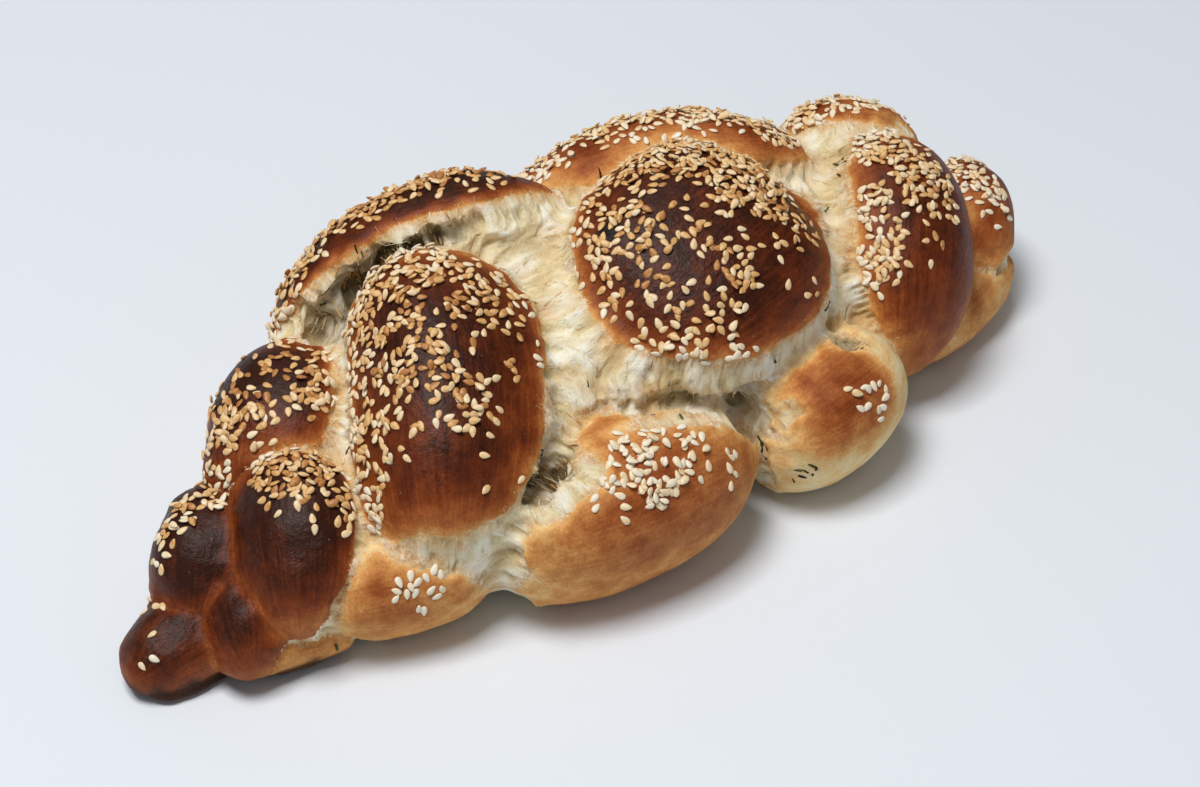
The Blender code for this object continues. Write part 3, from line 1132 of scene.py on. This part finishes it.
def named(tree, name, kind="FLOAT"):
    """A mesh attribute's value in a geometry tree."""
    return node(tree, "GeometryNodeInputNamedAttribute", {"Name": name}, data_type=kind
                ).outputs["Attribute"]


def chance(tree, low, high, seed):
    """A random number for each point."""
    made = tree.nodes.new("FunctionNodeRandomValue")
    made.data_type = "FLOAT"
    for socket in made.inputs:
        if socket.type == "VALUE" and socket.name == "Min":
            put(socket, low)
        if socket.type == "VALUE" and socket.name == "Max":
            put(socket, high)
    put(made.inputs["Seed"], seed)
    return [socket for socket in made.outputs if socket.type == "VALUE" and socket.enabled][0]


def vector_of(tree, x, y, z):
    """Three numbers as a vector."""
    return node(tree, "ShaderNodeCombineXYZ", {"X": x, "Y": y, "Z": z}).outputs[0]


def grow(tree, source, name, settings):
    """Run a tree on a copy of the source object and keep the result as a plain mesh."""
    carrier = bpy.data.objects.new(name, source.data.copy())
    bpy.context.scene.collection.objects.link(carrier)
    modifier = carrier.modifiers.new(name, "NODES")
    modifier.node_group = tree
    for item in tree.interface.items_tree:
        if item.in_out == "INPUT" and item.name in settings:
            modifier[item.identifier] = settings[item.name]
    graph = bpy.context.evaluated_depsgraph_get()
    finished = bpy.data.meshes.new_from_object(carrier.evaluated_get(graph))
    carrier.modifiers.clear()
    carrier.data = finished
    finished.name = name
    print(name + ":", len(finished.polygons), "faces")
    return carrier


# %% One seed
FLOAT, INT, MATERIAL = "NodeSocketFloat", "NodeSocketInt", "NodeSocketMaterial"


def teardrop(tree, length, width, thickness):
    """A flattened sphere, narrower towards one end, turned to lie along X."""
    ball = node(tree, "GeometryNodeMeshUVSphere", {"Segments": 8, "Rings": 6, "Radius": 1.0})
    position = tree.nodes.new("GeometryNodeInputPosition").outputs[0]
    where = node(tree, "ShaderNodeSeparateXYZ", {"Vector": position}).outputs
    narrow = math_node(tree, "SUBTRACT", 1.0, times(tree, where["Z"], 0.34))
    narrow = math_node(tree, "SUBTRACT", narrow,
                       times(tree, times(tree, where["Z"], where["Z"]), 0.10))
    half = [times(tree, size, 0.5) for size in (length, width, thickness)]
    along = times(tree, where["Z"], half[0])
    across = times(tree, times(tree, where["Y"], narrow), half[1])
    through = times(tree, times(tree, where["X"], -1.0), half[2])
    placed = node(tree, "GeometryNodeSetPosition", {
        "Geometry": ball.outputs["Mesh"], "Position": vector_of(tree, along, across, through)})
    return placed.outputs["Geometry"]


# %% Scattering, turning and finishing, for seeds and threads alike
def scattered(tree, given, crowd):
    """Points strewn over the given mesh and lifted off it, and the surface's normals there."""
    scatter = node(tree, "GeometryNodeDistributePointsOnFaces", {
        "Mesh": given["Geometry"], "Distance Min": given["Spacing"],
        "Density Max": given["Crowded"], "Density Factor": crowd, "Seed": given["Seed"],
    }, distribute_method="POISSON")
    normal = scatter.outputs["Normal"]
    lift = node(tree, "ShaderNodeVectorMath", {0: normal, "Scale": given["Lift"]},
                operation="SCALE")
    raised = node(tree, "GeometryNodeSetPosition",
                  {"Geometry": scatter.outputs["Points"], "Offset": lift.outputs[0]})
    return raised.outputs["Geometry"], normal


def give_or_take(tree, size, seed):
    """A random number from minus size to size."""
    return chance(tree, times(tree, size, -1.0), size, seed)


def turned(tree, lie, x, y, z):
    """A rotation with turns of its own added."""
    spin = node(tree, "FunctionNodeEulerToRotation", {"Euler": vector_of(tree, x, y, z)})
    return node(tree, "FunctionNodeRotateRotation",
                {"Rotation": lie.outputs[0], "Rotate By": spin.outputs[0]},
                rotation_space="LOCAL").outputs[0]


def laid_down(tree, given, result, laying, toast):
    """A shape at each point, each with its own toast, made real and given its finish."""
    laid = node(tree, "GeometryNodeInstanceOnPoints", laying)
    own = node(tree, "GeometryNodeStoreNamedAttribute",
               {"Geometry": laid.outputs["Instances"], "Name": "toast"},
               data_type="FLOAT", domain="INSTANCE")
    put(own.inputs["Value"], toast)
    real = node(tree, "GeometryNodeRealizeInstances", {"Geometry": own.outputs["Geometry"]})
    smooth = node(tree, "GeometryNodeSetShadeSmooth", {"Geometry": real.outputs["Geometry"]})
    painted = node(tree, "GeometryNodeSetMaterial",
                   {"Geometry": smooth.outputs["Geometry"], "Material": given["Material"]})
    put(result.inputs["Geometry"], painted.outputs["Geometry"])


# %% Sowing
def sowing_tree():
    """Scatter teardrops over a crust, thickest where its crowd attribute is highest."""
    tree, given, result = new_tree("sow_seeds", (
        ("Length", FLOAT, 3.2 * MM), ("Width", FLOAT, 1.95 * MM), ("Thickness", FLOAT, 1.0 * MM),
        ("Spacing", FLOAT, 1.8 * MM), ("Crowded", FLOAT, 3e5), ("Least crowd", FLOAT, 0.0),
        ("Share", FLOAT, 1.0), ("Lift", FLOAT, 0.2 * MM), ("Tilt", FLOAT, 0.2), ("Seed", INT, 1),
        ("Material", MATERIAL, None)))
    above = math_node(tree, "SUBTRACT", named(tree, "seed_crowd"), given["Least crowd"])
    crowd = times(tree, given["Share"], math_node(tree, "MAXIMUM", 0.0, above))
    spots, normal = scattered(tree, given, crowd)
    lie = node(tree, "FunctionNodeAlignRotationToVector", {"Vector": normal}, axis="Z")
    rotation = turned(tree, lie, give_or_take(tree, given["Tilt"], 3),
                      give_or_take(tree, given["Tilt"], 4), chance(tree, 0.0, math.tau, 5))
    bigger = chance(tree, 0.86, 1.12, 6)
    darkness = total(tree, times(tree, named(tree, "heat"), 0.3), chance(tree, 0.18, 0.8, 7))
    laid_down(tree, given, result, {
        "Points": spots, "Rotation": rotation, "Scale": vector_of(tree, bigger, bigger, bigger),
        "Instance": teardrop(tree, given["Length"], given["Width"], given["Thickness"]),
    }, times(tree, darkness, named(tree, "brown")))
    return tree


# %% [markdown]
# Heat toasts the seeds too. A seed on dark crust bakes golden, one on pale skin stays ivory, and no
# two are alike, so each seed carries a toast number of its own.

# %% Sesame colour
SESAME_TOAST = (
    (0.2, colour(242, 232, 211)), (0.42, colour(240, 220, 184)), (0.62, colour(233, 195, 140)),
    (0.82, colour(217, 166, 102)), (1.0, colour(178, 118, 62)),
)


def sesame_material():
    """Hulled sesame: ivory on pale skin, toasted gold on dark crust, each seed a bit different."""
    material, tree, shader = new_material("sesame")
    place = object_place(tree)
    mottle = rise(tree, speckle(tree, place, 1.2 * MM), 0.3, 0.7, -0.1, 0.1)
    toast = total(tree, read(tree, "toast"), mottle)
    put(shader.inputs["Base Color"], ramp(tree, toast, SESAME_TOAST))
    satin = rise(tree, speckle(tree, place, 0.8 * MM), 0.3, 0.7, 0.38, 0.52)
    put(shader.inputs["Roughness"], satin)
    shader.inputs["Specular IOR Level"].default_value = 0.45
    rough_bump(tree, shader, speckle(tree, place, 0.35 * MM), 0.08 * MM, 0.5)
    return material


# %% Two sowings
SESAME = {"Length": 3.1 * MM, "Width": 1.88 * MM, "Thickness": 0.78 * MM, "Crowded": 3.0e5,
          "Material": sesame_material()}
sowing = sowing_tree()
seeds = grow(sowing, loaf, "sesame_seeds", {
    **SESAME, "Spacing": 1.55 * MM, "Least crowd": 0.0, "Share": 1.0, "Lift": 0.2 * MM,
    "Tilt": 0.25, "Seed": 8})
top_seeds = grow(sowing, loaf, "sesame_seeds_on_top", {
    **SESAME, "Spacing": 1.7 * MM, "Least crowd": 0.5, "Share": 1.2, "Lift": 1.0 * MM,
    "Tilt": 0.5, "Seed": 21})

# %% [markdown]
# ## Fibres and herbs
#
# Torn dough is stringy. The larger strands are relief on the crumb, and the finest are loose
# threads: hair-thin fibres, and shreds half a millimetre thick. A thread is a shallow arch along a
# curve, thinner at both ends. It lies along the comb direction, so it joins the relief. Chopped
# herbs are the same arch, shorter, thicker and dark.

# %% One thread
def thread(tree, length, thickness, arch):
    """A tapered arch along X, three-sided, closed at both ends."""
    sunk = times(tree, arch, -1.0)
    curve = node(tree, "GeometryNodeCurveQuadraticBezier", {
        "Resolution": 4, "Start": vector_of(tree, times(tree, length, -0.5), 0.0, sunk),
        "Middle": vector_of(tree, 0.0, 0.0, arch),
        "End": vector_of(tree, times(tree, length, 0.5), 0.0, sunk)})
    factor = tree.nodes.new("GeometryNodeSplineParameter").outputs["Factor"]
    from_middle = math_node(tree, "ABSOLUTE", math_node(tree, "SUBTRACT", factor, 0.5))
    taper = math_node(tree, "SUBTRACT", 1.0, times(tree, from_middle, 1.6))
    tapered = node(tree, "GeometryNodeSetCurveRadius",
                   {"Curve": curve.outputs["Curve"], "Radius": taper})
    section = node(tree, "GeometryNodeCurvePrimitiveCircle", {"Resolution": 3})
    put(section.inputs["Radius"], times(tree, thickness, 0.5))
    tube = node(tree, "GeometryNodeCurveToMesh", {
        "Curve": tapered.outputs["Curve"], "Profile Curve": section.outputs["Curve"],
        "Fill Caps": True})
    return tube.outputs["Mesh"]


# %% Laying threads along the comb
def thread_tree():
    """Scatter threads over a mesh, along its comb attribute."""
    tree, given, result = new_tree("lay_threads", (
        ("Length", FLOAT, 7 * MM), ("Thickness", FLOAT, 0.2 * MM), ("Arch", FLOAT, 0.5 * MM),
        ("Spacing", FLOAT, 0.5 * MM), ("Crowded", FLOAT, 4e5), ("Where", "NodeSocketString", ""),
        ("Sway", FLOAT, 0.3), ("Tilt", FLOAT, 0.1), ("Lift", FLOAT, 0.1 * MM), ("Seed", INT, 1),
        ("Least toast", FLOAT, 0.0), ("Material", MATERIAL, None)))
    spots, normal = scattered(tree, given, named(tree, given["Where"]))
    comb_here = named(tree, "comb", "FLOAT_VECTOR")
    lie = node(tree, "FunctionNodeAxesToRotation",
               {"Primary Axis": normal, "Secondary Axis": comb_here},
               primary_axis="Z", secondary_axis="X")
    rotation = turned(tree, lie, 0.0, give_or_take(tree, given["Tilt"], 3),
                      give_or_take(tree, given["Sway"], 4))
    laid_down(tree, given, result, {
        "Points": spots, "Rotation": rotation,
        "Instance": thread(tree, given["Length"], given["Thickness"], given["Arch"]),
        "Scale": vector_of(tree, chance(tree, 0.5, 1.4, 6), chance(tree, 0.7, 1.5, 7), 1.0),
    }, chance(tree, given["Least toast"], 1.0, 8))
    return tree


# %% Thread and herb colours
THREAD_TOAST = (
    (0.0, colour(247, 236, 208)), (0.5, colour(239, 223, 187)), (0.8, colour(226, 197, 144)),
    (1.0, colour(212, 164, 98)),
)
HERB_GREENS = (
    (0.0, colour(34, 34, 18)), (0.5, colour(58, 58, 28)), (0.8, colour(92, 94, 42)),
    (1.0, colour(128, 124, 62)),
)


def thread_material():
    """Cream threads, some of them toasted."""
    material, tree, shader = new_material("crumb_thread")
    place = object_place(tree)
    value = total(tree, rise(tree, read(tree, "toast"), 0.0, 1.0, 0.0, 0.75),
                  rise(tree, speckle(tree, place, 5 * MM), 0.35, 0.7, 0.0, 0.4))
    put(shader.inputs["Base Color"], ramp(tree, value, THREAD_TOAST))
    shader.inputs["Roughness"].default_value = 0.85
    shader.inputs["Specular IOR Level"].default_value = 0.25
    return material


def herb_material():
    """Dried herb: black green, with paler and browner flecks."""
    material, tree, shader = new_material("herb")
    place = object_place(tree)
    value = total(tree, rise(tree, read(tree, "toast"), 0.0, 1.0, 0.0, 0.6),
                  rise(tree, speckle(tree, place, 1 * MM), 0.3, 0.7, 0.0, 0.4))
    put(shader.inputs["Base Color"], ramp(tree, value, HERB_GREENS))
    put(shader.inputs["Roughness"], rise(tree, speckle(tree, place, 0.6 * MM), 0.3, 0.7, 0.6, 0.8))
    shader.inputs["Specular IOR Level"].default_value = 0.3
    return material


# %% Laying them
laying = thread_tree()
thread_look = thread_material()
fibres = grow(laying, loaf, "crumb_fibres", {
    "Length": 5 * MM, "Thickness": 0.13 * MM, "Arch": 0.15 * MM, "Spacing": 0.65 * MM,
    "Crowded": 5e5, "Where": "fibre_crowd", "Sway": 0.3, "Tilt": 0.03, "Lift": 0.0,
    "Seed": 4, "Material": thread_look})
shreds = grow(laying, loaf, "torn_shreds", {
    "Length": 4.5 * MM, "Thickness": 0.5 * MM, "Arch": 0.4 * MM, "Spacing": 1.2 * MM,
    "Crowded": 4e5, "Where": "shred_crowd", "Sway": 0.4, "Tilt": 0.15, "Lift": 0.1 * MM,
    "Least toast": 0.5, "Seed": 14, "Material": thread_look})
herb_look = herb_material()
herbs = grow(laying, loaf, "herb_flecks", {
    "Length": 2.4 * MM, "Thickness": 0.7 * MM, "Arch": 0.2 * MM, "Spacing": 1.1 * MM,
    "Crowded": HERBS_AT_MOST * 1e4, "Where": "herb_crowd", "Sway": 1.4, "Tilt": 0.3,
    "Lift": 0.05 * MM, "Seed": 9, "Material": herb_look})

# %% [markdown]
# One stalk of herb stands up from the dough beside the largest lobe. It is too particular to
# scatter, so it is built as a bent stick of four six-sided rings.

# %% The standing stalk
STALK_FOOT = np.array([23.4, 23, 67.5]) - middle
STALK_RINGS = ((0, 0, 0.42), (0.35, 2.6, 0.45), (0.1, 5.2, 0.34), (-0.5, 7.6, 0.16))  # x, z, radius
STALK_SIDES = 6


def standing_stalk():
    """A thin bent stick, closed at both ends."""
    corners_of_ring = [math.tau * side / STALK_SIDES for side in range(STALK_SIDES)]
    dots = [STALK_FOOT + (x + radius * math.cos(turn), radius * math.sin(turn), z)
            for x, z, radius in STALK_RINGS for turn in corners_of_ring]
    faces = [tuple(reversed(range(STALK_SIDES)))]
    for ring in range(len(STALK_RINGS) - 1):
        for side in range(STALK_SIDES):
            near, beside = ring * STALK_SIDES + side, ring * STALK_SIDES + (side + 1) % STALK_SIDES
            faces.append((near, beside, beside + STALK_SIDES, near + STALK_SIDES))
    faces.append(tuple(range(len(dots) - STALK_SIDES, len(dots))))
    data = bpy.data.meshes.new("herb_stalk")
    data.from_pydata([tuple(dot * MM) for dot in dots], [], faces)
    add_attribute(data, "toast", np.zeros(len(dots)))
    data.materials.append(herb_look)
    return bpy.data.objects.new("herb_stalk", data)


stalk = standing_stalk()
bpy.context.scene.collection.objects.link(stalk)
print("The stalk stands", STALK_RINGS[-1][1], "mm tall")

# %% [markdown]
# ## Light, floor and camera
#
# A plain pale floor, one soft light almost overhead, and a pale sky that fills the shadows. A faint
# second light from behind shows only as a gleam on the crust. The camera looks down on the loaf
# from its front left through a long lens.

# %% Floor
FLOOR_SIZE = 3.0
FLOOR_GAP = 0.0002
FLOOR_TINTS = ((0.3, colour(226, 232, 239)), (0.7, colour(229, 235, 242)))


def pale_floor():
    """A wide matt floor, just under the loaf."""
    mesh = bmesh.new()
    bmesh.ops.create_grid(mesh, x_segments=1, y_segments=1, size=FLOOR_SIZE / 2)
    data = bpy.data.meshes.new("floor")
    mesh.to_mesh(data)
    mesh.free()
    material, tree, shader = new_material("floor")
    place = object_place(tree)
    put(shader.inputs["Base Color"], ramp(tree, speckle(tree, place, 0.4), FLOOR_TINTS))
    shader.inputs["Roughness"].default_value = 0.9
    shader.inputs["Specular IOR Level"].default_value = 0.05
    data.materials.append(material)
    return bpy.data.objects.new("floor", data)


floor = pale_floor()
floor.location.z = -FLOOR_GAP
bpy.context.scene.collection.objects.link(floor)

# %% Lights
def aim(obj, place, target):
    """Put a camera or a light at a place, looking at a target."""
    obj.location = place
    obj.rotation_euler = (Vector(target) - Vector(place)).to_track_quat("-Z", "Y").to_euler()
    bpy.context.scene.collection.objects.link(obj)


def soft_light(name, place, size, watts, tint):
    """A square area light aimed at the loaf."""
    data = bpy.data.lights.new(name, "AREA")
    data.size = size
    data.energy = watts
    data.color = tint
    lamp = bpy.data.objects.new(name, data)
    aim(lamp, place, (0, 0, 0.03))
    return lamp


soft_light("window", place=(-0.39, -0.03, 1.52), size=0.6, watts=20.8, tint=(1.0, 0.99, 0.97))
gleam = soft_light("gleam", place=(0.38, 0.62, 1.1), size=1.0, watts=2.0, tint=(1.0, 0.95, 0.9))
gleam.visible_diffuse = False
print("Two soft lights")

# %% Sky
SKY_STRENGTH = 0.22
SKY_IN_REFLECTIONS = 0.02
SKY_TINT = (0.93, 0.965, 1.0, 1)


def pale_sky():
    """A pale even sky. Glossy crust mirrors a dimmer one, as in a room that is dark round it."""
    world = bpy.data.worlds.new("studio")
    world.use_nodes = True
    tree = world.node_tree
    mirrored = node(tree, "ShaderNodeLightPath").outputs["Is Glossy Ray"]
    sky = tree.nodes["Background"]
    sky.inputs["Color"].default_value = SKY_TINT
    put(sky.inputs["Strength"], rise(tree, mirrored, 0.0, 1.0, SKY_STRENGTH, SKY_IN_REFLECTIONS))
    return world


bpy.context.scene.world = pale_sky()
bpy.context.scene.view_settings.view_transform = "Standard"  # colours come out as written

# %% Camera
TURN, TIP, FAR = math.radians(-35), math.radians(42), 0.78
LOOK_AT = Vector((-0.0055, -0.018, 0.035))
back = Vector((math.sin(TURN) * math.cos(TIP), -math.cos(TURN) * math.cos(TIP), math.sin(TIP)))
lens = bpy.data.cameras.new("camera")
lens.lens = 85
camera = bpy.data.objects.new("camera", lens)
aim(camera, LOOK_AT + FAR * back, LOOK_AT)
bpy.context.scene.camera = camera
print("The camera stands", FAR, "m away")

# %% [markdown]
# ## Handing over to the frame
#
# Everything rides on the loaf's one body, and the baked loaf stands in for the plain solid.

# %% Riding on the frame
PIECES = ((loaf, "crust"), (seeds, "sesame"), (top_seeds, "sesame"), (fibres, "crumb"),
          (shreds, "crumb"), (herbs, "herb"), (stalk, "herb"))
for piece, slot in PIECES:
    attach(piece, "root")
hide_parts("braided_loaf")
